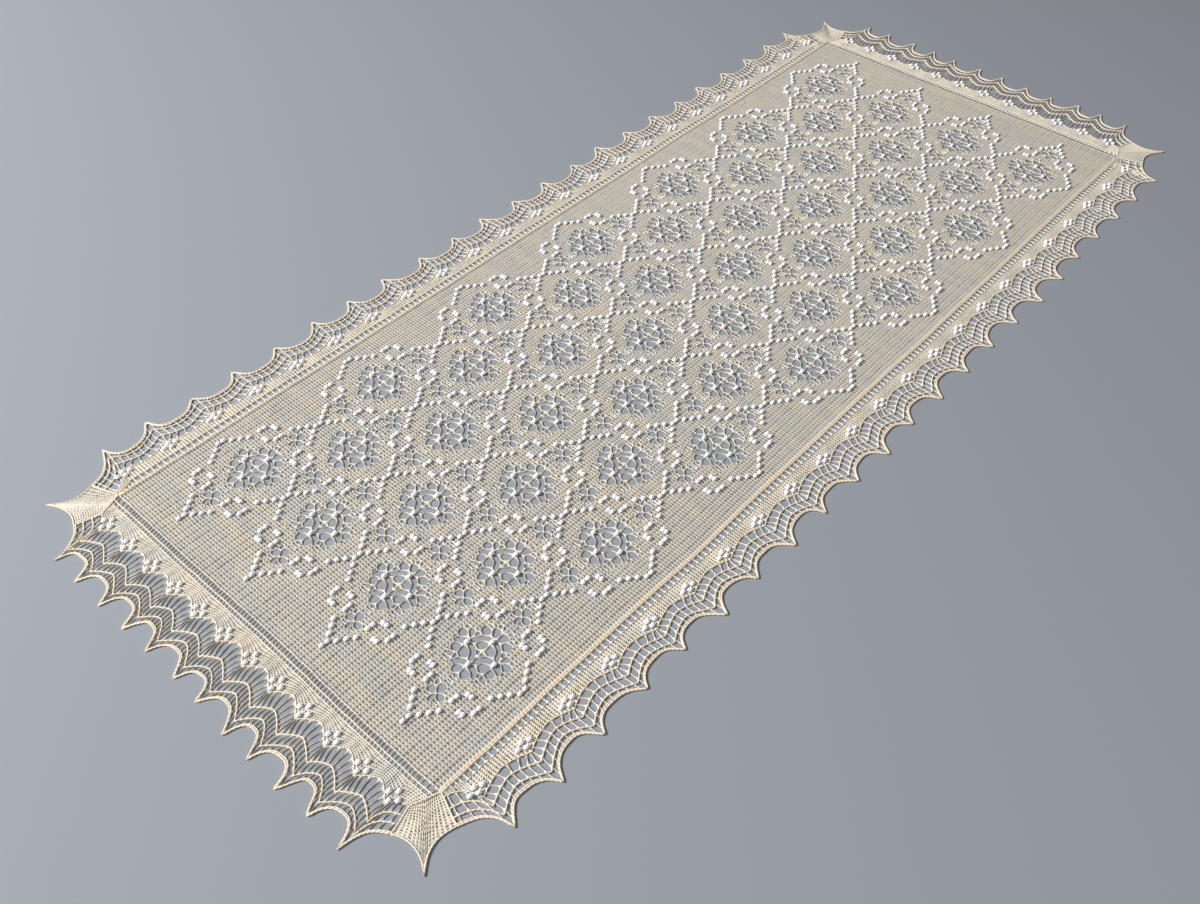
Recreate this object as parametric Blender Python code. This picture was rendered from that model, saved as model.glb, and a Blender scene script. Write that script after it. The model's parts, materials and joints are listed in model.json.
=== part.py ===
"""Lace shawl, knitted and laid flat. Metres, +Z up, origin under the middle of the shawl.

X runs across the shawl and Y along it. Every size of the pattern is a share of REPEAT, the width of
one diamond of the trellis.
"""

import math

import bpy

# Driving sizes
REPEAT = 0.110  # width of one diamond of the trellis, 24 stitches
WALL = 0.0016  # thickness of the cloth
SEAM = 0.0003  # space between two pieces that are sewn together

# The plan, in repeats, measured from the middle of the shawl
PANEL_X, PANEL_Y = 2.15, 5.61  # where the edging is sewn to the panel
SIDE_TIP_X, SIDE_TIP_Y = 2.74, 5.43  # the last point of the edging's long side
END_TIP_X, END_TIP_Y = 1.92, 6.40  # the last point of the edging's short side
CORNER_TIP_X, CORNER_TIP_Y = 2.52, 6.11
SIDE_TIPS, END_TIPS = 23, 12  # points on a long side and on a short side
SIDE_DEPTH, END_DEPTH, CORNER_DEPTH = 0.165, 0.19, 0.215  # of the curve between two points
CURVE_POWER = 3  # a higher power makes the points of the edging narrower
CURVE_STEPS = (0.0, 0.08, 0.2, 0.35, 0.5, 0.65, 0.8, 0.92)  # shares of the way between two points
HALF_WAY = CURVE_STEPS.index(0.5)

# The trellis of diamonds: rows of four and three stars by turns
STAR_ROWS = 13
STARS_IN_LONG_ROW = 4
ROW_PITCH = 0.768
STAR_RAISE = 0.02  # a star sits a little above the middle of its diamond

# The widest holes of one star and of the bud below it: across, up, width, height, tilt in degrees
STAR_HOLES = (
    {"x": 0.118, "y": 0.190, "width": 0.088, "height": 0.090, "tilt": -20},
    {"x": -0.118, "y": 0.190, "width": 0.088, "height": 0.090, "tilt": 20},
    {"x": 0.110, "y": -0.078, "width": 0.084, "height": 0.100, "tilt": 10},
    {"x": -0.110, "y": -0.078, "width": 0.084, "height": 0.100, "tilt": -10},
    {"x": 0.005, "y": -0.430, "width": 0.092, "height": 0.078, "tilt": 0},
)

# The widest holes of the edging, between two points and at a corner
SIDE_HOLE = {"reach": 2.365, "across": 0.064, "along": 0.072}
END_HOLE = {"reach": 5.900, "across": 0.054, "along": 0.120}
CORNER_HOLE = {"x": 2.245, "y": 5.725, "width": 0.046, "height": 0.085, "tilt": -25}
HOLE_SIDES = 6

YARN_COLOUR = (0.46, 0.42, 0.35, 1.0)
EDGE_COLOUR = (0.55, 0.48, 0.38, 1.0)


def clear_scene():
    for obj in list(bpy.data.objects):
        bpy.data.objects.remove(obj, do_unlink=True)


def yarn_material(name, colour):
    material = bpy.data.materials.new(name)
    material.use_nodes = True
    shader = material.node_tree.nodes["Principled BSDF"]
    shader.inputs["Base Color"].default_value = colour
    shader.inputs["Roughness"].default_value = 0.85
    shader.inputs["Metallic"].default_value = 0.0
    return material


def spaced(last, count):
    """The places of count things from -last to last."""
    return [last * (2 * i / (count - 1) - 1) for i in range(count)]


def edge_curve(start, end, depth):
    """From one point of the edging up to the next, which is left out: a curve that dips in."""
    run_x, run_y = end[0] - start[0], end[1] - start[1]
    length = math.hypot(run_x, run_y)
    in_x, in_y = -run_y / length, run_x / length
    points = []
    for share in CURVE_STEPS:
        dip = depth * (1 - abs(2 * share - 1) ** CURVE_POWER)
        points.append((start[0] + run_x * share + in_x * dip, start[1] + run_y * share + in_y * dip))
    return points


def shifted(point, shift):
    return point[0] + shift[0], point[1] + shift[1]


def side_outline(seam):
    """The strip on the right long side, from its lower end up and back. Seam is half the space at a seam."""
    tips = [(SIDE_TIP_X, y) for y in spaced(SIDE_TIP_Y, SIDE_TIPS)]
    corner = (CORNER_TIP_X, CORNER_TIP_Y)
    upper = edge_curve(tips[-1], corner, CORNER_DEPTH)[: HALF_WAY + 1]
    outer = []
    for start, end in zip(tips, tips[1:]):
        outer += edge_curve(start, end, SIDE_DEPTH)
    outer += upper[:-1]
    meeting, inner = upper[-1], (PANEL_X, PANEL_Y)
    along = math.atan2(meeting[1] - inner[1], meeting[0] - inner[0])
    below = (seam * math.sin(along), -seam * math.cos(along))
    head = [shifted(meeting, below), (PANEL_X + seam, shifted(inner, below)[1])]
    foot = [(x, -y) for x, y in reversed(head)]
    tail = [(x, -y) for x, y in reversed(upper[1:-1])]
    return outer + head + foot + tail


def end_outline(seam):
    """The strip across the far short side with both corners, from its left end round."""
    tips = [(x, END_TIP_Y) for x in spaced(END_TIP_X, END_TIPS)][::-1]
    corner = (CORNER_TIP_X, CORNER_TIP_Y)
    side_end = (SIDE_TIP_X, SIDE_TIP_Y)
    right = edge_curve(side_end, corner, CORNER_DEPTH)[HALF_WAY:] + edge_curve(corner, tips[0], CORNER_DEPTH)
    outer = list(right)
    for start, end in zip(tips, tips[1:]):
        outer += edge_curve(start, end, END_DEPTH)
    outer.append(tips[-1])
    outer += [(-x, y) for x, y in reversed(right)]
    meeting, inner = right[0], (PANEL_X, PANEL_Y)
    along = math.atan2(meeting[1] - inner[1], meeting[0] - inner[0])
    above = (-seam * math.sin(along), seam * math.cos(along))
    outer[0] = shifted(meeting, above)
    outer[-1] = (-outer[0][0], outer[0][1])
    return outer + [(-inner[0], inner[1] + seam), (inner[0], inner[1] + seam)]


def panel_outline(seam):
    x, y = PANEL_X - seam, PANEL_Y - seam
    return [(-x, -y), (x, -y), (x, y), (-x, y)]


def hole_outline(x, y, width, height, tilt=0):
    """A lace hole: an oval of HOLE_SIDES corners, turned by tilt degrees."""
    turn = math.radians(tilt)
    points = []
    for i in range(HOLE_SIDES):
        angle = 2 * math.pi * (i + 0.5) / HOLE_SIDES
        across, up = width / 2 * math.sin(angle), height / 2 * math.cos(angle)
        points.append(
            (
                x + across * math.cos(turn) - up * math.sin(turn),
                y + across * math.sin(turn) + up * math.cos(turn),
            )
        )
    return points


def star_places():
    places = []
    for row in range(STAR_ROWS):
        in_row = STARS_IN_LONG_ROW - row % 2
        up = ROW_PITCH * (row - (STAR_ROWS - 1) / 2) + STAR_RAISE
        places += [(i - (in_row - 1) / 2, up) for i in range(in_row)]
    return places


def panel_holes():
    holes = []
    for star_x, star_y in star_places():
        for hole in STAR_HOLES:
            holes.append(hole_outline(**{**hole, "x": star_x + hole["x"], "y": star_y + hole["y"]}))
    return holes


def between(places):
    return [(a + b) / 2 for a, b in zip(places, places[1:])]


def side_holes():
    size = (SIDE_HOLE["across"], SIDE_HOLE["along"])
    return [hole_outline(SIDE_HOLE["reach"], y, *size) for y in between(spaced(SIDE_TIP_Y, SIDE_TIPS))]


def end_holes():
    size = (END_HOLE["across"], END_HOLE["along"])
    holes = [hole_outline(x, END_HOLE["reach"], *size) for x in between(spaced(END_TIP_X, END_TIPS))]
    right = hole_outline(**CORNER_HOLE)
    return holes + [right, [(-x, y) for x, y in reversed(right)]]


def turned_round(loops, across, along):
    """The same loops mirrored to another side of the shawl, each still running the same way round."""
    step = across * along
    return [[(x * across, y * along) for x, y in loop[::step]] for loop in loops]


def cloth_piece(name, loops, collection, material):
    """A flat piece of cloth from z = 0 up: the first loop is its outline, the others are holes."""
    curve = bpy.data.curves.new(name, "CURVE")
    curve.dimensions = "2D"
    curve.fill_mode = "BOTH"
    curve.extrude = WALL / 2
    for loop in loops:
        spline = curve.splines.new("POLY")
        spline.points.add(len(loop) - 1)
        for point, (x, y) in zip(spline.points, loop):
            point.co = (x * REPEAT, y * REPEAT, 0.0, 1.0)
        spline.use_cyclic_u = True
    curve.materials.append(material)
    piece = bpy.data.objects.new(name, curve)
    piece.location.z = WALL / 2
    collection.objects.link(piece)
    return piece


def build():
    clear_scene()
    shawl = bpy.data.collections.new("lace_shawl")
    bpy.context.scene.collection.children.link(shawl)
    knit = yarn_material("knitted_panel", YARN_COLOUR)
    lace = yarn_material("lace_edging", EDGE_COLOUR)
    seam = SEAM / 2 / REPEAT
    cloth_piece("centre_panel", [panel_outline(seam)] + panel_holes(), shawl, knit)
    side = [side_outline(seam)] + side_holes()
    end = [end_outline(seam)] + end_holes()
    cloth_piece("edging_right", turned_round(side, 1, 1), shawl, lace)
    cloth_piece("edging_left", turned_round(side, -1, 1), shawl, lace)
    cloth_piece("edging_far", turned_round(end, 1, 1), shawl, lace)
    cloth_piece("edging_near", turned_round(end, 1, -1), shawl, lace)


build()
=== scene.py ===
import json
import math
import random

import bmesh
import bpy
from mathutils import Matrix, Vector, noise

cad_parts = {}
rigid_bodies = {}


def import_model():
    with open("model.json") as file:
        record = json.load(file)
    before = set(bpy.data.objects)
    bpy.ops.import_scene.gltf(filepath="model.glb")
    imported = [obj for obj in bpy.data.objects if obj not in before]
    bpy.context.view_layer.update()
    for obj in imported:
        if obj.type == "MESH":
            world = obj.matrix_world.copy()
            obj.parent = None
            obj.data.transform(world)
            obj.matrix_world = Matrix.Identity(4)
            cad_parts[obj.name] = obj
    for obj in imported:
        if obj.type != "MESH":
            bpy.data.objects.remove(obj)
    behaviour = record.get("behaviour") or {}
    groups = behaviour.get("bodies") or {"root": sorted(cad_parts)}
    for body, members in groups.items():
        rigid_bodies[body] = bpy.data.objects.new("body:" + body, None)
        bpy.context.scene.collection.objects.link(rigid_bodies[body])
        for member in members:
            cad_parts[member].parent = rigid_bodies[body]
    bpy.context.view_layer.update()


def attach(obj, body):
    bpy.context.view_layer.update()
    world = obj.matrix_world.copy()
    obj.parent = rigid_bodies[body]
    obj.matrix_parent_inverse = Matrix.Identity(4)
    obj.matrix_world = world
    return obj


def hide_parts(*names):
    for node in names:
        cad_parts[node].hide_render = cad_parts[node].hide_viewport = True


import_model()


# Camera, at the angle and distance that the picture was taken from
shot = {"place": (0.6207, -0.8511, 0.8696), "azimuth": 132.06, "elevation": -47.13, "lens": 34.54}


def makeCamera():
    camera = bpy.data.objects.new("camera", bpy.data.cameras.new("camera"))
    bpy.context.scene.collection.objects.link(camera)
    turn, lift = math.radians(shot["azimuth"]), math.radians(shot["elevation"])
    look = Vector((math.cos(turn) * math.cos(lift), math.sin(turn) * math.cos(lift), math.sin(lift)))
    camera.location = shot["place"]
    camera.rotation_euler = look.to_track_quat("-Z", "Y").to_euler()
    camera.data.lens = shot["lens"]
    camera.data.sensor_width = 36
    camera.data.clip_end = 50
    bpy.context.scene.camera = camera


makeCamera()
print("camera set")


# The plan that the whole shawl is charted on
plan = {
    "repeat": 0.110,  # width of one diamond, 24 stitches
    "stitches": 24,
    "rowsHalf": 24,  # rows in half the height of a diamond
    "rowPitch": 0.768,  # the same in repeats
    "panelStitches": 102,
    "panelRows": 350,
    "starRows": 13,
    "longRow": 4,  # stars in the first row and every other one, with one less between them
    "starRaise": 0.02,  # a star sits this far above the middle of its diamond
    "splitAt": -0.1,  # the panel is one cloth, in two pieces that meet here
}
repeat = plan["repeat"]
stitch = repeat / plan["stitches"]
row = repeat * plan["rowPitch"] / plan["rowsHalf"]

# Hand knitting never lies quite straight: a slow drift, a small wobble, and points that lean
drift = {
    "seed": 5,  # any whole number but 0 gives the cloth another unevenness
    "slow": (9.0, 0.0016),  # how often it changes in a metre, and how far it moves
    "small": (70.0, 0.0005),
    "lean": (26.0, 0.016),
    "leanFrom": (2.38, 5.95),  # across and along, where the points of the edging start
    "leanAlong": 0.9,  # the points of the ends lean a little less
    "leanMost": 0.4,
    "lift": 0.5,  # how much of the small wobble goes up and down
    "lowest": 0.0001,  # above the floor
}
noise.seed_set(drift["seed"])  # the same unevenness on every run


def unevenness(spot):
    slow = noise.noise_vector(spot * drift["slow"][0]) * drift["slow"][1]
    small = noise.noise_vector(spot * drift["small"][0] + Vector((3.1, 0, 0))) * drift["small"][1]
    fromX, fromY = drift["leanFrom"]
    edge = max(abs(spot.x) / repeat - fromX, (abs(spot.y) / repeat - fromY) * drift["leanAlong"], 0.0)
    often, far = drift["lean"]
    lean = noise.noise_vector(spot * often + Vector((0, 7.7, 0))) * far * min(edge, drift["leanMost"])
    move = slow + small + lean
    return Vector((move.x, move.y, small.z * drift["lift"]))


def settle(bm):
    for vert in bm.verts:
        flat = Vector((vert.co.x, vert.co.y, 0.0))
        vert.co += unevenness(flat)
        vert.co.z = max(vert.co.z, drift["lowest"])


def addPiece(name, bm, materials):
    mesh = bpy.data.meshes.new(name)
    bm.to_mesh(mesh)
    bm.free()
    for material in materials:
        mesh.materials.append(material)
    mesh.shade_smooth()
    piece = bpy.data.objects.new(name, mesh)
    bpy.context.scene.collection.objects.link(piece)
    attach(piece, "root")
    return piece


def appendTo(bm, part, move=(0, 0, 0)):
    # adds a finished small mesh to a larger one, moved
    if any(move):
        bmesh.ops.translate(part, verts=part.verts[:], vec=move)
    mesh = bpy.data.meshes.new("part")
    part.to_mesh(mesh)
    bm.from_mesh(mesh)
    bpy.data.meshes.remove(mesh)
    if any(move):
        bmesh.ops.translate(part, verts=part.verts[:], vec=[-m for m in move])


def gridOver(across, along, place):
    bm = bmesh.new()
    bmesh.ops.create_grid(bm, x_segments=across, y_segments=along, size=0.5)
    for vert in bm.verts:
        x, y = place(vert.co.x + 0.5, vert.co.y + 0.5)
        vert.co = (x, y, 0.0)
    bmesh.ops.recalc_face_normals(bm, faces=bm.faces[:])
    if sum(face.normal.z for face in bm.faces) < 0:
        bmesh.ops.reverse_faces(bm, faces=bm.faces[:])
    return bm


def paintUv(bm, uvOf):
    layer = bm.loops.layers.uv.verify()
    for face in bm.faces:
        for loop in face.loops:
            loop[layer].uv = uvOf(loop.vert.co)


# Two ways of opening a cell of the cloth: stitches share their walls, and strands run between wide holes
cloth = {
    "ridge": 0.0015,  # height of the top of the yarn
    "rim": 0.00035,  # height of its lower edge round a hole
    "strand": 0.0005,  # half the width of a strand
    "opening": (0.37, 0.58),  # how much of a stitch is hole, across and along
    "taper": 0.35,
    "looseness": ((40.0, 0.20), (400.0, 0.30)),  # how often it changes in a metre, and how much
    "ribs": (0.86, 1.14),  # every other rib of the knitting lies a little wider apart
    "rounds": 3,  # how often the corners of a hole are smoothed
    "swell": 1.16,
}
holeDepth = cloth["ridge"] - cloth["rim"]


def raiseToRidge(bm):
    bmesh.ops.translate(bm, verts=bm.verts[:], vec=(0, 0, cloth["ridge"]))


def openStitches(bm, faces, shareX, shareY, taper=0.0):
    # taper makes a hole narrower towards +Y, as between the legs of two ribs of stocking stitch
    old = {face: [vert.co.copy() for vert in face.verts] for face in faces}
    bmesh.ops.inset_individual(bm, faces=faces, thickness=0.0002, depth=0.0)
    for face in faces:
        middle = sum(old[face], Vector()) / len(old[face])
        slack = sum((much * noise.noise(middle * often) for often, much in cloth["looseness"]), 1)
        slack *= cloth["ribs"][math.floor(middle.x / stitch) % 2]
        for vert, before in zip(face.verts, old[face]):
            away = before - middle
            narrow = 1 - taper if away.y > 0 else 1 + taper
            away = Vector((away.x * shareX * slack * narrow, away.y * shareY * slack, -holeDepth))
            vert.co = middle + away
    bmesh.ops.delete(bm, geom=faces, context="FACES_ONLY")


def openHoles(bm, faces, strand, least=0.10):
    # a hole that comes out smaller than the least share of its cell stays shut
    whole = {face: face.calc_area() for face in faces}
    bmesh.ops.inset_individual(bm, faces=faces, thickness=strand, depth=-holeDepth, use_even_offset=True)
    holes = []
    for face in faces:
        ring = face.verts[:]
        count = len(ring)
        before = face.calc_area()
        for _ in range(cloth["rounds"]):
            spots = [(ring[i - 1].co + ring[i].co * 2 + ring[(i + 1) % count].co) / 4 for i in range(count)]
            for vert, spot in zip(ring, spots):
                vert.co = spot
        # rounding off a hole makes it smaller, so it is opened again
        middle = sum((vert.co for vert in ring), Vector()) / count
        swell = min(cloth["swell"], math.sqrt(before / max(face.calc_area(), 1e-9)))
        for vert in ring:
            vert.co = middle + (vert.co - middle) * swell
        face.normal_update()
        if face.normal.z > 0.2 and face.calc_area() > least * whole[face]:
            holes.append(face)
    bmesh.ops.delete(bm, geom=holes, context="FACES_ONLY")


# The openwork of one diamond: a star of four flowers, with a bud above it and below it
starHoles = [  # mirrored: across, up, width, height, tilt in degrees
    {"x": 0.047, "y": 0.238, "w": 0.060, "h": 0.085, "tilt": -20},
    {"x": 0.055, "y": 0.300, "w": 0.045, "h": 0.040, "tilt": 0},
    {"x": 0.120, "y": 0.190, "w": 0.092, "h": 0.085, "tilt": 0},
    {"x": 0.118, "y": 0.250, "w": 0.044, "h": 0.034, "tilt": 0},
    {"x": 0.096, "y": 0.112, "w": 0.030, "h": 0.092, "tilt": 45},
    {"x": 0.147, "y": 0.118, "w": 0.034, "h": 0.038, "tilt": 0},
    {"x": 0.046, "y": 0.067, "w": 0.080, "h": 0.088, "tilt": 0},
    {"x": 0.019, "y": -0.004, "w": 0.028, "h": 0.040, "tilt": 0},
    {"x": 0.061, "y": -0.030, "w": 0.032, "h": 0.092, "tilt": -45},
    {"x": 0.206, "y": 0.112, "w": 0.054, "h": 0.080, "tilt": -20},
    {"x": 0.257, "y": 0.052, "w": 0.085, "h": 0.078, "tilt": 0},
    {"x": 0.264, "y": 0.118, "w": 0.042, "h": 0.036, "tilt": 0},
    {"x": 0.238, "y": -0.024, "w": 0.030, "h": 0.084, "tilt": 45},
    {"x": 0.277, "y": -0.016, "w": 0.028, "h": 0.034, "tilt": 0},
    {"x": 0.110, "y": -0.082, "w": 0.080, "h": 0.094, "tilt": 0},
    {"x": 0.203, "y": -0.090, "w": 0.070, "h": 0.088, "tilt": 0},
    {"x": 0.093, "y": -0.164, "w": 0.030, "h": 0.088, "tilt": 45},
    {"x": 0.136, "y": -0.156, "w": 0.032, "h": 0.034, "tilt": 0},
    {"x": 0.052, "y": -0.220, "w": 0.070, "h": 0.090, "tilt": 0},
    {"x": 0.194, "y": -0.160, "w": 0.070, "h": 0.035, "tilt": 0},
    {"x": 0.190, "y": -0.199, "w": 0.060, "h": 0.028, "tilt": 0},
    {"x": 0.186, "y": -0.231, "w": 0.050, "h": 0.024, "tilt": 0},
]
middleHoles = [  # on the middle line, below the star
    {"x": 0.0, "y": -0.276, "w": 0.040, "h": 0.028, "tilt": 0},
    {"x": 0.0, "y": -0.306, "w": 0.052, "h": 0.027, "tilt": 0},
]
budHoles = [  # from the middle of a bud
    {"x": 0.002, "y": 0.064, "w": 0.092, "h": 0.076, "tilt": 0},
    {"x": -0.072, "y": 0.080, "w": 0.038, "h": 0.046, "tilt": 0},
    {"x": -0.064, "y": 0.000, "w": 0.076, "h": 0.068, "tilt": 0},
    {"x": 0.068, "y": -0.010, "w": 0.076, "h": 0.070, "tilt": 0},
    {"x": 0.000, "y": -0.072, "w": 0.030, "h": 0.060, "tilt": 0},
    {"x": 0.000, "y": 0.120, "w": 0.060, "h": 0.026, "tilt": 0},
    {"x": 0.000, "y": 0.146, "w": 0.050, "h": 0.022, "tilt": 0},
    {"x": -0.062, "y": -0.052, "w": 0.052, "h": 0.020, "tilt": 0},
    {"x": -0.060, "y": -0.078, "w": 0.044, "h": 0.018, "tilt": 0},
    {"x": 0.064, "y": -0.062, "w": 0.052, "h": 0.020, "tilt": 0},
    {"x": 0.062, "y": -0.088, "w": 0.044, "h": 0.018, "tilt": 0},
]
star = {
    "budsAt": (-0.475, 0.485),
    "halfStitches": 8,  # the openwork of a star keeps within these, and a bud within budStitches
    "budStitches": 4,
    "rows": (-20, -10, 12, 22),  # foot of the lower bud, of the star, of the upper bud, and its head
    "groundSize": 0.0019,  # half a plain stitch, in metres, as are the next three
    "keepOff": 0.0013,  # how far a plain stitch stays from a hole
    "reach": 0.017,  # how far off a cell still feels its neighbours
    "near": 0.011,  # a plain stitch with holes all round it this near is left out
    "openSide": 150,  # degrees without a hole that still let a plain stitch stay
    "openWork": (0.28, 0.30),  # half the width and height of the lozenge that holds no plain stitches
    "longEdge": 0.0026,  # a longer edge of a hole gets a corner more, so the hole comes out round
    "oddOpening": (0.38, 0.46),  # of a plain stitch that isn't four-sided
    "beads": ((0.0, 0.14), (-0.16, 0.0), (0.16, 0.0), (0.0, -0.14)),
}


def withinStar(x, y):
    # x in stitches and y in rows from the middle of the diamond
    low, foot, head, top = star["rows"]
    if foot < y < head:
        return abs(x) < star["halfStitches"]
    return low < y < top and abs(x) < star["budStitches"]


def seedsOfHole(hole, up, side):
    # a long hole takes two or three seeds in a row
    short, long = sorted((hole["w"], hole["h"]))
    turn = math.radians(hole["tilt"]) * side + (math.pi / 2 if hole["w"] > hole["h"] else 0)
    count = max(1, round(long / short))
    seeds = []
    for i in range(count):
        far = (i - (count - 1) / 2) * (long - short) / max(1, count - 1)
        x, y = hole["x"] * side - far * math.sin(turn), hole["y"] + up + far * math.cos(turn)
        seeds.append((x * repeat, y * repeat, short / 2 * repeat))
    return seeds


def isEnclosed(x, y, seeds):
    # whether holes stand all round a plain stitch
    turns = sorted(
        math.degrees(math.atan2(seed[1] - y, seed[0] - x))
        for seed in seeds
        if math.hypot(seed[0] - x, seed[1] - y) < star["near"]
    )
    if len(turns) < 3:
        return False
    turns.append(turns[0] + 360)
    return max(b - a for a, b in zip(turns, turns[1:])) < star["openSide"]


def starSeeds():
    flower, buds = [], []
    raised = plan["starRaise"]
    for hole in starHoles:
        flower += [("hole", seedsOfHole(hole, raised, side)) for side in (1, -1)]
    for up in star["budsAt"]:
        buds.append([("hole", seedsOfHole(hole, raised + up, 1)) for hole in budHoles])
    groups = flower + buds[0] + buds[1]
    groups += [("hole", seedsOfHole(hole, raised, 1)) for hole in middleHoles]
    taken = [seed for kind, seeds in groups for seed in seeds]
    motifs = [[seed for kind, seeds in motif for seed in seeds] for motif in (flower, *buds)]
    low, foot, head, top = star["rows"]
    wide, high = star["openWork"]
    for i in range(-star["halfStitches"] - 2, star["halfStitches"] + 2):
        for j in range(low - 2, top + 2):
            x, y = (i + 0.5) * stitch, (j + 0.5) * row
            isFree = all(math.hypot(x - s[0], y - s[1]) > s[2] + star["keepOff"] for s in taken)
            inFlower = abs(x) / (wide * repeat) + abs(y - raised * repeat) / (high * repeat) < 1
            if isFree and not inFlower and not any(isEnclosed(x, y, motif) for motif in motifs):
                kind = "ground" if withinStar(i + 0.5, j + 0.5) else "outside"
                groups.append((kind, [(x, y, star["groundSize"])]))
    return groups


def cellRound(seed, others, box):
    # the sheet is cut along the line between this seed and each near one
    cell = bmesh.new()
    bmesh.ops.create_grid(cell, x_segments=1, y_segments=1, size=box)
    bmesh.ops.translate(cell, verts=cell.verts[:], vec=(seed[0], seed[1], 0))
    for other in others:
        apart = Vector((other[0] - seed[0], other[1] - seed[1], 0))
        gap = apart.length
        share = (gap * gap + seed[2] ** 2 - other[2] ** 2) / (2 * gap * gap)
        spot = Vector((seed[0], seed[1], 0)) + apart * share
        everything = cell.verts[:] + cell.edges[:] + cell.faces[:]
        away = apart.normalized()
        bmesh.ops.bisect_plane(
            cell, geom=everything, dist=0.00002, plane_co=spot, plane_no=away, clear_outer=True
        )
    return cell


def makeStarNet():
    groups = starSeeds()
    every = [seed for kind, seeds in groups for seed in seeds]
    bm = bmesh.new()
    for kind, seeds in groups:
        if kind == "outside":
            continue
        part = bmesh.new()
        for seed in seeds:
            near = []
            for other in every:
                gap = math.hypot(other[0] - seed[0], other[1] - seed[1])
                if 0 < gap < star["reach"]:
                    near.append((gap, other))
            near.sort()
            cell = cellRound(seed, [other for gap, other in near], star["reach"])
            appendTo(part, cell)
            cell.free()
        if len(seeds) > 1:
            bmesh.ops.remove_doubles(part, verts=part.verts[:], dist=0.00005)
            if len(part.faces) > 1:
                bmesh.ops.dissolve_faces(part, faces=part.faces[:])
        for face in part.faces:
            face.material_index = 1 if kind == "hole" else 0
        appendTo(bm, part)
        part.free()
    bmesh.ops.remove_doubles(bm, verts=bm.verts[:], dist=0.00012)
    bmesh.ops.recalc_face_normals(bm, faces=bm.faces[:])
    if sum(face.normal.z for face in bm.faces) < 0:
        bmesh.ops.reverse_faces(bm, faces=bm.faces[:])
    return bm


def finishStarNet(bm):
    atHoles = [edge for edge in bm.edges if any(face.material_index == 1 for face in edge.link_faces)]
    long = [edge for edge in atHoles if edge.calc_length() > star["longEdge"]]
    bmesh.ops.subdivide_edges(bm, edges=long, cuts=1)
    raiseToRidge(bm)
    ground = [face for face in bm.faces if face.material_index == 0]
    holes = [face for face in bm.faces if face.material_index == 1]
    plain = [face for face in ground if len(face.verts) == 4]
    odd = [face for face in ground if len(face.verts) != 4]
    openHoles(bm, holes, cloth["strand"])
    openStitches(bm, plain, *cloth["opening"], cloth["taper"])
    openStitches(bm, odd, *star["oddOpening"])


def starPlaces():
    # the middles of all diamonds, in repeats
    places = []
    for k in range(plan["starRows"]):
        inRow = plan["longRow"] - k % 2
        up = plan["rowPitch"] * (k - (plan["starRows"] - 1) / 2)
        places += [(i - (inRow - 1) / 2, up) for i in range(inRow)]
    return places


def makePanel():
    starNet = makeStarNet()
    finishStarNet(starNet)
    print("one star is", sum(len(face.verts) - 2 for face in starNet.faces), "triangles")
    taken = set()
    low, foot, head, top = star["rows"]
    for x, y in starPlaces():
        midI, midJ = round(x * plan["stitches"]), round(y * repeat / row)
        for i in range(-star["halfStitches"], star["halfStitches"]):
            for j in range(low, top):
                if withinStar(i + 0.5, j + 0.5):
                    taken.add((midI + i, midJ + j))
    wide, high = plan["panelStitches"] * stitch, plan["panelRows"] * row
    ground = gridOver(
        plan["panelStitches"], plan["panelRows"], lambda s, t: ((s - 0.5) * wide, (t - 0.5) * high)
    )
    covered = []
    for face in ground.faces:
        middle = face.calc_center_median()
        cell = (math.floor(middle.x / stitch), math.floor(middle.y / row))
        if cell in taken:
            covered.append(face)
    bmesh.ops.delete(ground, geom=covered, context="FACES")
    raiseToRidge(ground)
    openStitches(ground, ground.faces[:], *cloth["opening"], cloth["taper"])
    for x, y in starPlaces():
        appendTo(ground, starNet, (x * repeat, y * repeat, 0))
    starNet.free()
    bmesh.ops.remove_doubles(ground, verts=ground.verts[:], dist=0.0001)
    paintUv(ground, lambda spot: (spot.x / stitch, spot.y / row))
    settle(ground)
    return ground


def cutPanel(whole, name, low, high):
    # one stretch of the panel, which keeps the shading that its edge has in the whole cloth
    part = whole.copy()
    layer = part.verts.layers.float_vector.new("wholeNormal")
    part.normal_update()
    for vert in part.verts:
        vert[layer] = vert.normal
    away = [face for face in part.faces if not low <= face.calc_center_median().y < high]
    bmesh.ops.delete(part, geom=away, context="FACES")
    normals = [vert[layer].copy() for vert in part.verts]
    part.verts.layers.float_vector.remove(layer)
    piece = addPiece(name, part, [knitYarn, laceYarn])
    piece.data.normals_split_custom_set_from_vertices(normals)
    return piece


# Yarn, dyed in short uneven lengths of cream and grey, so the colour runs in streaks along the rows
yarn = {
    "roughness": 0.8,
    "sheen": (0.3, 0.45),  # weight and roughness
    "bump": (0.6, 0.0003),  # strength and height
    "knit": {"cream": (0.46, 0.40, 0.305), "grey": (0.36, 0.35, 0.325), "streak": (5, 70, 1)},
    "lace": {"cream": (0.70, 0.61, 0.47), "grey": (0.60, 0.57, 0.51), "streak": (24, 24, 1)},
    "edge": {"cream": (0.74, 0.59, 0.42), "grey": (0.66, 0.59, 0.49), "streak": (30, 30, 1)},
    "ramp": (0.30, 0.66),  # where the grey ends and where the cream starts
    "legSlope": 1.1,  # how steeply the legs of a stitch rise, in rows for one stitch
    "fibre": 1500.0,  # how fine the fibres are
    "plies": 1.6,  # height of the plies against that of the fibres
    "shade": {"plies": 0.16, "fibres": 0.3, "least": 0.80},  # painted shade: how much the yarn's colour is darkened in the hollows of its plies and fibres
}
glass = {
    "roughness": 0.12,
    "coat": (0.5, 0.05),  # weight and roughness
    "shades": ((0.35, (0.86, 0.87, 0.97)), (0.6, (0.97, 0.97, 1.0))),  # place on the ramp, and colour
    "change": 160.0,  # how often it changes in a metre
}


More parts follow.
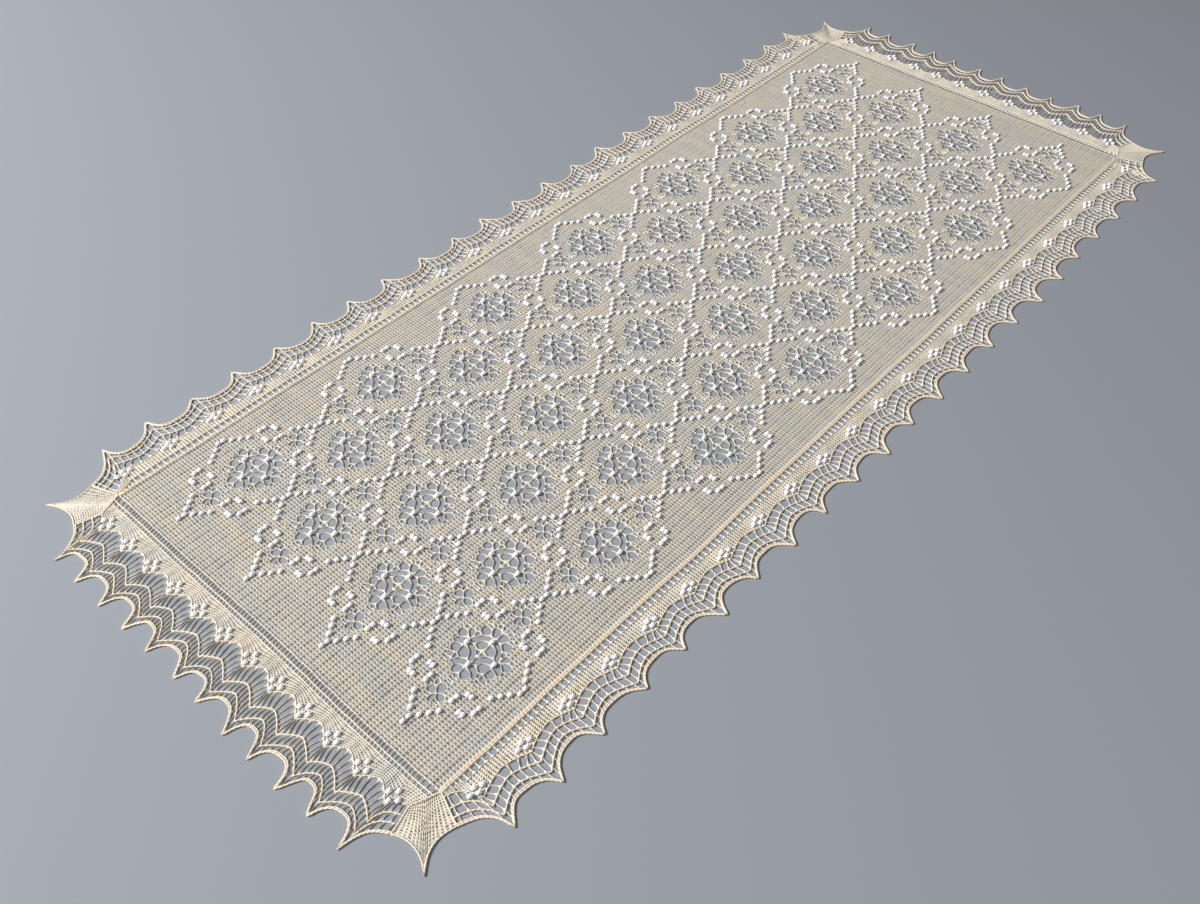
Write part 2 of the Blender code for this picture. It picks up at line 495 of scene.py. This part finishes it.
def addMath(tree, operation, *values):
    node = tree.nodes.new("ShaderNodeMath")
    node.operation = operation
    for socket, value in zip(node.inputs, values):
        if isinstance(value, (int, float)):
            socket.default_value = value
        else:
            tree.links.new(value, socket)
    return node.outputs[0]


def addNoise(tree, vector, scale, detail):
    node = tree.nodes.new("ShaderNodeTexNoise")
    node.inputs["Scale"].default_value = scale
    node.inputs["Detail"].default_value = detail
    tree.links.new(vector, node.inputs["Vector"])
    return node.outputs["Fac"]


def plyHeight(tree, pattern):
    # from the piece's own map: the legs of the stitches on knitting, and the twist of two plies on a cord
    uv = tree.nodes.new("ShaderNodeUVMap")
    axes = tree.nodes.new("ShaderNodeSeparateXYZ")
    tree.links.new(uv.outputs["UV"], axes.inputs["Vector"])
    across, along = axes.outputs["X"], axes.outputs["Y"]
    if pattern == "knit":
        fromRib = addMath(tree, "ABSOLUTE", addMath(tree, "SUBTRACT", addMath(tree, "FRACT", across), 0.5))
        across = addMath(tree, "MULTIPLY", fromRib, yarn["legSlope"])
    turn = addMath(tree, "MULTIPLY", addMath(tree, "ADD", along, across), 2 * math.pi)
    wave = addMath(tree, "SINE", turn)
    return addMath(tree, "MULTIPLY_ADD", wave, 0.5, 0.5)


def yarnMaterial(name, colours, pattern=None):
    material = bpy.data.materials.new(name)
    material.use_nodes = True
    tree = material.node_tree
    shader = tree.nodes["Principled BSDF"]
    shader.inputs["Roughness"].default_value = yarn["roughness"]
    shader.inputs["Sheen Weight"].default_value = yarn["sheen"][0]
    shader.inputs["Sheen Roughness"].default_value = yarn["sheen"][1]
    coords = tree.nodes.new("ShaderNodeTexCoord")
    stretch = tree.nodes.new("ShaderNodeMapping")
    stretch.inputs["Scale"].default_value = colours["streak"]
    tree.links.new(coords.outputs["Object"], stretch.inputs["Vector"])
    ramp = tree.nodes.new("ShaderNodeValToRGB")
    for element, place, colour in zip(ramp.color_ramp.elements, yarn["ramp"], ("grey", "cream")):
        element.position = place
        element.color = (*colours[colour], 1)
    tree.links.new(addNoise(tree, stretch.outputs["Vector"], 1.0, 3.0), ramp.inputs["Fac"])
    fibres = addNoise(tree, coords.outputs["Object"], yarn["fibre"], 2.0)
    height = fibres
    if pattern:
        height = addMath(tree, "MULTIPLY_ADD", plyHeight(tree, pattern), yarn["plies"], fibres)
    # painted shade: the yarn's colour is multiplied darker where the plies and fibres lie low, as shade in
    # the hollows
    much = yarn["shade"]["plies" if pattern else "fibres"]
    shade = addMath(tree, "MULTIPLY_ADD", height, much, yarn["shade"]["least"])
    paintedShadeMix = tree.nodes.new("ShaderNodeMix")
    paintedShadeMix.data_type = "RGBA"
    paintedShadeMix.blend_type = "MULTIPLY"
    paintedShadeMix.inputs["Factor"].default_value = 1.0
    tree.links.new(ramp.outputs["Color"], paintedShadeMix.inputs["A"])
    tree.links.new(shade, paintedShadeMix.inputs["B"])
    tree.links.new(paintedShadeMix.outputs["Result"], shader.inputs["Base Color"])
    bump = tree.nodes.new("ShaderNodeBump")
    bump.inputs["Strength"].default_value = yarn["bump"][0]
    bump.inputs["Distance"].default_value = yarn["bump"][1]
    tree.links.new(height, bump.inputs["Height"])
    tree.links.new(bump.outputs["Normal"], shader.inputs["Normal"])
    return material


def beadMaterial():
    # opaque white glass, a touch lavender, no two beads quite the same
    material = bpy.data.materials.new("whiteGlass")
    material.use_nodes = True
    tree = material.node_tree
    shader = tree.nodes["Principled BSDF"]
    shader.inputs["Roughness"].default_value = glass["roughness"]
    shader.inputs["Coat Weight"].default_value = glass["coat"][0]
    shader.inputs["Coat Roughness"].default_value = glass["coat"][1]
    coords = tree.nodes.new("ShaderNodeTexCoord")
    ramp = tree.nodes.new("ShaderNodeValToRGB")
    for element, (place, colour) in zip(ramp.color_ramp.elements, glass["shades"]):
        element.position = place
        element.color = (*colour, 1)
    tree.links.new(addNoise(tree, coords.outputs["Object"], glass["change"], 1.0), ramp.inputs["Fac"])
    tree.links.new(ramp.outputs["Color"], shader.inputs["Base Color"])
    return material


knitYarn = yarnMaterial("knitYarn", yarn["knit"], "knit")
laceYarn = yarnMaterial("laceYarn", yarn["lace"])
edgeYarn = yarnMaterial("edgeYarn", yarn["edge"], "cord")
whiteGlass = beadMaterial()

wholePanel = makePanel()
panelNear = cutPanel(wholePanel, "panelNear", -1.0, plan["splitAt"] * repeat)
panelFar = cutPanel(wholePanel, "panelFar", plan["splitAt"] * repeat, 1.0)
wholePanel.free()
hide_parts("centre_panel")
print("panel knitted")


# The edging: levels run outwards from the seam, each a curve between its reach at a valley and at a point
corner = {
    "tip": (2.52, 6.11),
    "depth": 0.215,  # how far the edge curves in on either side of the point
    "power": 3,  # how sharp the point is
    "inner": (2.148, 5.604),  # where the corner's ribs start
    "across": 16,
    "outwards": 13,
    "opening": 0.42,
    "steps": 24,  # of a cord round it
}
# Each level has its reach at a valley and at a tip, how sharp it is there, and where it meets the next side
sideEdging = {
    "scallops": 22,
    "lastTip": 5.43,  # how far along the last point is
    "seam": {"valley": 2.157, "tip": 2.157, "power": 1, "meet": (2.157, 5.600)},
    "eyelet": {"valley": 2.220, "tip": 2.220, "power": 1, "meet": (2.170, 5.612)},
    "knit": {"valley": 2.333, "tip": 2.410, "power": 1.6, "meet": (2.190, 5.620)},
    "first": {"valley": 2.423, "tip": 2.510, "power": 1.5, "meet": (2.290, 5.655)},
    "second": {"valley": 2.512, "tip": 2.620, "power": 1.7, "meet": (2.365, 5.680)},
    "outer": {"valley": 2.575, "tip": 2.740, "power": 3, "meet": (2.4255, 5.704)},
    "eyelets": (("seam", "eyelet", 0.0007),),  # the levels that they lie between, and half their wall
    "knitFrom": "eyelet",
    "cells": 8,  # holes to a scallop
    "shift": 0.5,  # how the holes stand to the points: 0.5 puts one on the point
    "tipShift": 0.5,
    "slant": 0.12,  # how far the first band's holes lean towards a point, in scallops
    "knitAcross": 6,
    "knitAlong": 16,  # stitches to a scallop
    "knitOpening": (0.56, 0.34),
    "seamCords": (0.007, 0.024),  # how far inwards of the seam they lie
    "beads": (2.33, 0.028, 0.062),  # reach of a group, and how far its beads stand across and along
}
endEdging = {
    "scallops": 11,
    "lastTip": 1.92,
    "seam": {"valley": 5.600, "tip": 5.600, "power": 1, "meet": (5.600, 2.145)},
    "eyelet": {"valley": 5.658, "tip": 5.658, "power": 1, "meet": (5.658, 2.127)},
    "small": {"valley": 5.698, "tip": 5.698, "power": 1, "meet": (5.698, 2.112)},
    "knit": {"valley": 5.830, "tip": 5.950, "power": 1.5, "meet": (5.830, 2.060)},
    "first": {"valley": 6.010, "tip": 6.120, "power": 1.4, "meet": (5.910, 2.085)},
    "second": {"valley": 6.120, "tip": 6.250, "power": 1.5, "meet": (5.985, 2.105)},
    "outer": {"valley": 6.210, "tip": 6.400, "power": 3, "meet": (6.0614, 2.1264)},
    "eyelets": (("seam", "eyelet", 0.0006), ("eyelet", "small", 0.0008)),
    "knitFrom": "small",
    "cells": 9,
    "shift": 0.0,
    "tipShift": 0.5,
    "slant": 0.14,
    "knitAcross": 7,
    "knitAlong": 16,
    "knitOpening": (0.34, 0.56),
    "seamCords": (),
    "beads": (5.86, 0.052, 0.052),
}
tipRound = 0.02  # how blunt the points of the edging are, in scallops


def cornerCurve(start, share):
    # the edge from the last point of a side towards the corner's point, in repeats
    tip, depth = corner["tip"], corner["depth"]
    runX, runY = tip[0] - start[0], tip[1] - start[1]
    length = math.hypot(runX, runY)
    inX, inY = -runY / length, runX / length
    if inX * start[0] + inY * start[1] > 0:
        inX, inY = -inX, -inY
    dip = depth * (1 - abs(2 * share - 1) ** corner["power"])
    return start[0] + runX * share + inX * dip, start[1] + runY * share + inY * dip


def edgePoint(strip, level, u):
    # u counts scallops from the first point. Gives reach outwards and place along, in repeats
    count = strip["scallops"]
    sign = 1 if u >= count / 2 else -1
    u = u if sign > 0 else count - u
    line = strip[level]
    if u <= count:
        fromTip = min(u % 1, 1 - u % 1)
        blunt = tipRound if level == "outer" and 0.5 < u < count - 0.5 else 0.0
        tipness = max(0.0, 1 - 2 * (math.hypot(fromTip, blunt) - blunt * 0.5)) ** line["power"]
        reach = line["valley"] + (line["tip"] - line["valley"]) * tipness
        return reach, sign * (2 * u / count - 1) * strip["lastTip"]
    isSide = strip is sideEdging
    outer = strip["outer"]
    start = (outer["tip"], strip["lastTip"])
    now = cornerCurve(start if isSide else start[::-1], min(0.5, u - count))
    now = now if isSide else now[::-1]
    shareReach = (now[0] - start[0]) / (outer["meet"][0] - start[0])
    shareAlong = (now[1] - start[1]) / (outer["meet"][1] - start[1])
    reach = line["tip"] + (line["meet"][0] - line["tip"]) * shareReach
    along = strip["lastTip"] + (line["meet"][1] - strip["lastTip"]) * shareAlong
    return reach, sign * along


def between(strip, low, high, slant=0.0):
    count = strip["scallops"]

    def place(u, share):
        lean = slant * math.sin(2 * math.pi * u) if 0 < u < count else 0
        a, b = edgePoint(strip, low, u - lean), edgePoint(strip, high, u)
        return a[0] + (b[0] - a[0]) * share, a[1] + (b[1] - a[1]) * share

    return place


def toPlan(strip, spot, sign):
    # from reach and place along to metres on the shawl
    if strip is sideEdging:
        return sign * spot[0] * repeat, spot[1] * repeat
    return spot[1] * repeat, sign * spot[0] * repeat


def lineUp(strip, i, total, shift):
    # where the grid's line i of a band stands, in scallops
    if i == 0:
        return -0.5
    if i == total:
        return strip["scallops"] + 0.5
    return -0.5 + (i - shift) / strip["cells"]


def bandCells(strip, sign, low, high, shift, slant, strand, cuts):
    # a band of holes between two levels
    total = round((strip["scallops"] + 1) * strip["cells"] + shift * 2)
    place = between(strip, low, high, slant)
    bm = bmesh.new()
    bmesh.ops.create_grid(bm, x_segments=total, y_segments=1, size=0.5)
    along = [edge for edge in bm.edges if abs(edge.verts[0].co.y - edge.verts[1].co.y) < 0.1]
    rungs = [edge for edge in bm.edges if abs(edge.verts[0].co.y - edge.verts[1].co.y) > 0.1]
    bmesh.ops.bisect_edges(bm, edges=along, cuts=cuts)
    bmesh.ops.bisect_edges(bm, edges=rungs, cuts=2)
    for vert in bm.verts:
        s = (vert.co.x + 0.5) * total
        i = math.floor(s + 1e-4)
        a = lineUp(strip, i, total, shift)
        b = lineUp(strip, min(i + 1, total), total, shift)
        u = a + (b - a) * (s - i)
        spot = toPlan(strip, place(u, vert.co.y + 0.5), sign)
        vert.co = (spot[0], spot[1], cloth["ridge"])
    bmesh.ops.recalc_face_normals(bm, faces=bm.faces[:])
    if sum(face.normal.z for face in bm.faces) < 0:
        bmesh.ops.reverse_faces(bm, faces=bm.faces[:])
    openHoles(bm, bm.faces[:], strand, least=0.05)
    return bm


def knitBand(strip, sign):
    count = strip["scallops"] + 1
    place = between(strip, strip["knitFrom"], "knit")
    bm = gridOver(
        count * strip["knitAlong"],
        strip["knitAcross"],
        lambda s, t: toPlan(strip, place(-0.5 + s * count, t), sign),
    )
    raiseToRidge(bm)
    openStitches(bm, bm.faces[:], *strip["knitOpening"])
    return bm


def makeStrip(strip, sign):
    strand = cloth["strand"]
    parts = [bandCells(strip, sign, low, high, 0.5, 0, wall, 2) for low, high, wall in strip["eyelets"]]
    parts += [
        knitBand(strip, sign),
        bandCells(strip, sign, "knit", "first", strip["shift"], strip["slant"], strand, 2),
        bandCells(strip, sign, "first", "second", strip["shift"], 0, strand, 2),
        bandCells(strip, sign, "second", "outer", strip["tipShift"], 0, strand, 3),
    ]
    bm = bmesh.new()
    for part in parts:
        appendTo(bm, part)
        part.free()
    return bm


def wedgePlace(signX, signY):
    # where a share across and a share outwards of the corner's wedge lie
    sideTip = (sideEdging["outer"]["tip"], sideEdging["lastTip"])
    endTip = (endEdging["lastTip"], endEdging["outer"]["tip"])
    innerA, innerB = corner["inner"], endEdging["knit"]["meet"][::-1]

    def place(s, t):
        if s < 0.5:
            out = cornerCurve(sideTip, 0.5 + s)
        else:
            out = cornerCurve(endTip, 1.5 - s)
        x = innerA[0] + (innerB[0] - innerA[0]) * s
        y = innerA[1] + (innerB[1] - innerA[1]) * s
        return signX * (x + (out[0] - x) * t) * repeat, signY * (y + (out[1] - y) * t) * repeat

    return place


def makeWedge(signX, signY):
    # the close knitting of a corner, its ribs spreading from the panel's corner to the point
    bm = gridOver(corner["across"], corner["outwards"], wedgePlace(signX, signY))
    raiseToRidge(bm)
    openStitches(bm, bm.faces[:], corner["opening"], corner["opening"])
    return bm


for name, strip, sign, node in (
    ("edgingRight", sideEdging, 1, "edging_right"),
    ("edgingLeft", sideEdging, -1, "edging_left"),
    ("edgingFar", endEdging, 1, "edging_far"),
    ("edgingNear", endEdging, -1, "edging_near"),
):
    bm = makeStrip(strip, sign)
    if strip is endEdging:
        for signX in (1, -1):
            wedge = makeWedge(signX, sign)
            appendTo(bm, wedge)
            wedge.free()
    settle(bm)
    piece = addPiece(name, bm, [laceYarn])
    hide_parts(node)
print("edging knitted")


# The plied strands that run along the levels of the edging and round its corners
cords = {
    "edge": 0.0008,  # radii, in metres
    "inner": 0.0007,
    "line": 0.0007,
    "fine": 0.00055,
    "seam": 0.0009,
    "height": 0.0011,  # of the middle of a cord above the floor
    "inwards": 0.015,  # from the edge to the inner cord, in repeats
    "twist": 0.004,  # length of one turn of the plies
    "sides": 6,
    "steps": {"outer": 32, "second": 16, "first": 16, "knit": 16, "seam": 8},  # to a scallop
}


def yarnCord(points, radius):
    # a round cord along points on the plan, in metres
    count = len(points)
    bm = bmesh.new()
    bmesh.ops.create_grid(bm, x_segments=cords["sides"], y_segments=count - 1, size=0.5)
    layer = bm.loops.layers.uv.verify()
    lengths = [0.0]
    for a, b in zip(points, points[1:]):
        lengths.append(lengths[-1] + math.dist(a, b))
    for face in bm.faces:
        for loop in face.loops:
            i = round((loop.vert.co.y + 0.5) * (count - 1))
            loop[layer].uv = (loop.vert.co.x + 0.5, lengths[i] / cords["twist"])
    for vert in bm.verts:
        i = round((vert.co.y + 0.5) * (count - 1))
        before, after = points[max(0, i - 1)], points[min(count - 1, i + 1)]
        run = Vector((after[0] - before[0], after[1] - before[1], 0)).normalized()
        turn = vert.co.x * 2 * math.pi
        out = Vector((-run.y, run.x, 0)) * math.sin(turn) * radius
        up = cords["height"] - math.cos(turn) * radius
        vert.co = Vector((points[i][0], points[i][1], up)) + out
    bmesh.ops.remove_doubles(bm, verts=bm.verts[:], dist=0.00001)
    rims = [edge for edge in bm.edges if edge.is_boundary]
    bmesh.ops.holes_fill(bm, edges=rims, sides=cords["sides"])
    bmesh.ops.recalc_face_normals(bm, faces=bm.faces[:])
    return bm


def levelLine(strip, sign, level, inwards=0.0):
    steps = cords["steps"][level]
    line = []
    for i in range((strip["scallops"] + 1) * steps + 1):
        reach, along = edgePoint(strip, level, -0.5 + i / steps)
        line.append(toPlan(strip, (reach - inwards, along), sign))
    return line


def wedgeLines(signX, signY):
    # round the outer and the inner edge of a corner, and out along its two borders
    place = wedgePlace(signX, signY)
    shares = [i / corner["steps"] for i in range(corner["steps"] + 1)]
    return [
        [place(share, 1) for share in shares],
        [place(share, 0) for share in shares],
        [place(0, share) for share in shares],
        [place(1, share) for share in shares],
    ]


def makeCords():
    bm = bmesh.new()
    lines = []
    for strip in (sideEdging, endEdging):
        for sign in (1, -1):
            lines += [
                (levelLine(strip, sign, "outer"), cords["edge"]),
                (levelLine(strip, sign, "outer", cords["inwards"]), cords["inner"]),
                (levelLine(strip, sign, "second"), cords["line"]),
                (levelLine(strip, sign, "first"), cords["line"]),
                (levelLine(strip, sign, "knit"), cords["fine"]),
            ]
            for inwards in strip["seamCords"]:
                lines.append((levelLine(strip, sign, "seam", inwards), cords["seam"]))
    for signX in (1, -1):
        for signY in (1, -1):
            lines += [(points, cords["edge"]) for points in wedgeLines(signX, signY)]
    for points, radius in lines:
        cord = yarnCord(points, radius)
        appendTo(bm, cord)
        cord.free()
    settle(bm)
    return bm


edgeCords = addPiece("edgeCords", makeCords(), [edgeYarn])
print("cords laid")


# Beads, knitted in along the trellis, in each flower and at each point of the edging
bead = {
    "sides": 8,
    "radius": 0.00205,
    "profile": [(0.0, -0.0020), (0.0014, -0.0025), (0.0019, -0.0015)],  # from an end to the widest, mirrored
    "height": 0.0023,  # of its middle above the floor
    "tilt": 9,  # degrees that it may be turned either way
    "seed": 7,
}
trellis = {
    "pair": 0.9,  # the two beads of a crossing stand this far above and below it, in rows
    "hooks": (  # from a crossing towards the next one, in stitches and rows
        (1.2, 2.8), (2.3, 4.75), (3.4, 6.65), (3.5, 10.5), (3.55, 12.2), (4.75, 14.4), (5.72, 14.5),
    ),
}


def makeBead():
    # a grid wrapped round, which lists its faces in the same order on every run, as a spin doesn't
    half = bead["profile"]
    profile = half + [(bead["radius"], 0)] + [(r, -y) for r, y in reversed(half)]
    steps = len(profile) - 1
    bm = bmesh.new()
    bmesh.ops.create_grid(bm, x_segments=bead["sides"], y_segments=steps, size=0.5)
    for vert in bm.verts:
        radius, along = profile[round((vert.co.y + 0.5) * steps)]
        turn = vert.co.x * 2 * math.pi
        vert.co = (radius * math.cos(turn), along, radius * math.sin(turn))
    bmesh.ops.remove_doubles(bm, verts=bm.verts[:], dist=0.00001)
    bmesh.ops.recalc_face_normals(bm, faces=bm.faces[:])
    return bm


def trellisPlaces():
    # from each crossing, half of the four lines that leave it
    places = []
    rows = plan["starRows"]
    widest = plan["longRow"] / 2
    for k in range(-1, rows + 1):
        up = plan["rowPitch"] * (k - (rows - 1) / 2) * repeat / row
        inRow = plan["longRow"] + 1 - k % 2
        for column in [i - (inRow - 1) / 2 for i in range(inRow)]:
            across = column * plan["stitches"]
            places += [(across, up - trellis["pair"]), (across, up + trellis["pair"])]
            for sideX in (1, -1):
                for sideY in (1, -1):
                    if abs(column + sideX * 0.5) <= widest and -1 <= k + sideY <= rows:
                        places += [(across + sideX * dx, up + sideY * dy) for dx, dy in trellis["hooks"]]
    spots = [(x * stitch, y * row) for x, y in places]
    for x, y in starPlaces():
        spots += [((x + bx) * repeat, (y + plan["starRaise"] + by) * repeat) for bx, by in star["beads"]]
    return spots


def edgingPlaces():
    # four beads round the middle of each point
    spots = []
    for strip in (sideEdging, endEdging):
        count = strip["scallops"]
        middle, across, along = strip["beads"]
        for i in range(count + 1):
            place = (2 * i / count - 1) * strip["lastTip"]
            for sign in (1, -1):
                group = [(across, 0), (-across, 0), (0, along), (0, -along)]
                spots += [toPlan(strip, (middle + a, place + b), sign) for a, b in group]
    return spots


def makeBeads(spots):
    one = makeBead()
    bm = bmesh.new()
    chance = random.Random(bead["seed"])
    for x, y in spots:
        turn = math.radians(chance.uniform(-bead["tilt"], bead["tilt"]))
        copy = one.copy()
        bmesh.ops.rotate(copy, verts=copy.verts[:], matrix=Matrix.Rotation(turn, 3, "Z"))
        move = unevenness(Vector((x, y, 0)))
        appendTo(bm, copy, (x + move.x, y + move.y, bead["height"] + move.z))
        copy.free()
    one.free()
    return bm


trellisBeads = addPiece("trellisBeads", makeBeads(trellisPlaces()), [whiteGlass])
edgingBeads = addPiece("edgingBeads", makeBeads(edgingPlaces()), [whiteGlass])
print("beads:", len(trellisPlaces()), "on the panel,", len(edgingPlaces()), "on the edging")

total = 0
for item in bpy.context.scene.objects:
    if item.type == "MESH" and item.name[0].islower() and "_" not in item.name:
        count = sum(len(face.vertices) - 2 for face in item.data.polygons)
        total += count
        print(item.name, count, "triangles", round(sum(face.area for face in item.data.polygons), 5), "m2")
print("all", total)


# A plain floor, a dim sky, and light from the near left
stage = {
    "floor": (0.225, 0.24, 0.265),
    "floorRoughness": 0.9,
    "size": 8.0,  # half the width of the floor
    "sky": 0.16,
    "skyColour": (0.9, 0.95, 1.0),
    "lights": (  # name, place, size, power
        ("keyLight", (-2.7, -3.0, 2.9), 1.3, 430),
        ("fillLight", (3.0, -1.0, 3.0), 3.0, 45),
    ),
}


def makeStage():
    bm = bmesh.new()
    bmesh.ops.create_grid(bm, x_segments=1, y_segments=1, size=stage["size"])
    mesh = bpy.data.meshes.new("floor")
    bm.to_mesh(mesh)
    bm.free()
    floor = bpy.data.objects.new("floor", mesh)
    bpy.context.scene.collection.objects.link(floor)
    material = bpy.data.materials.new("paleFloor")
    material.use_nodes = True
    shader = material.node_tree.nodes["Principled BSDF"]
    shader.inputs["Base Color"].default_value = (*stage["floor"], 1)
    shader.inputs["Roughness"].default_value = stage["floorRoughness"]
    mesh.materials.append(material)
    world = bpy.data.worlds.new("studio")
    world.use_nodes = True
    sky = world.node_tree.nodes["Background"]
    sky.inputs["Color"].default_value = (*stage["skyColour"], 1)
    sky.inputs["Strength"].default_value = stage["sky"]
    bpy.context.scene.world = world
    bpy.context.scene.view_settings.view_transform = "Standard"
    for name, place, size, power in stage["lights"]:
        data = bpy.data.lights.new(name, "AREA")
        data.size = size
        data.energy = power
        light = bpy.data.objects.new(name, data)
        light.location = place
        light.rotation_euler = (-Vector(place)).to_track_quat("-Z", "Y").to_euler()
        bpy.context.scene.collection.objects.link(light)


makeStage()
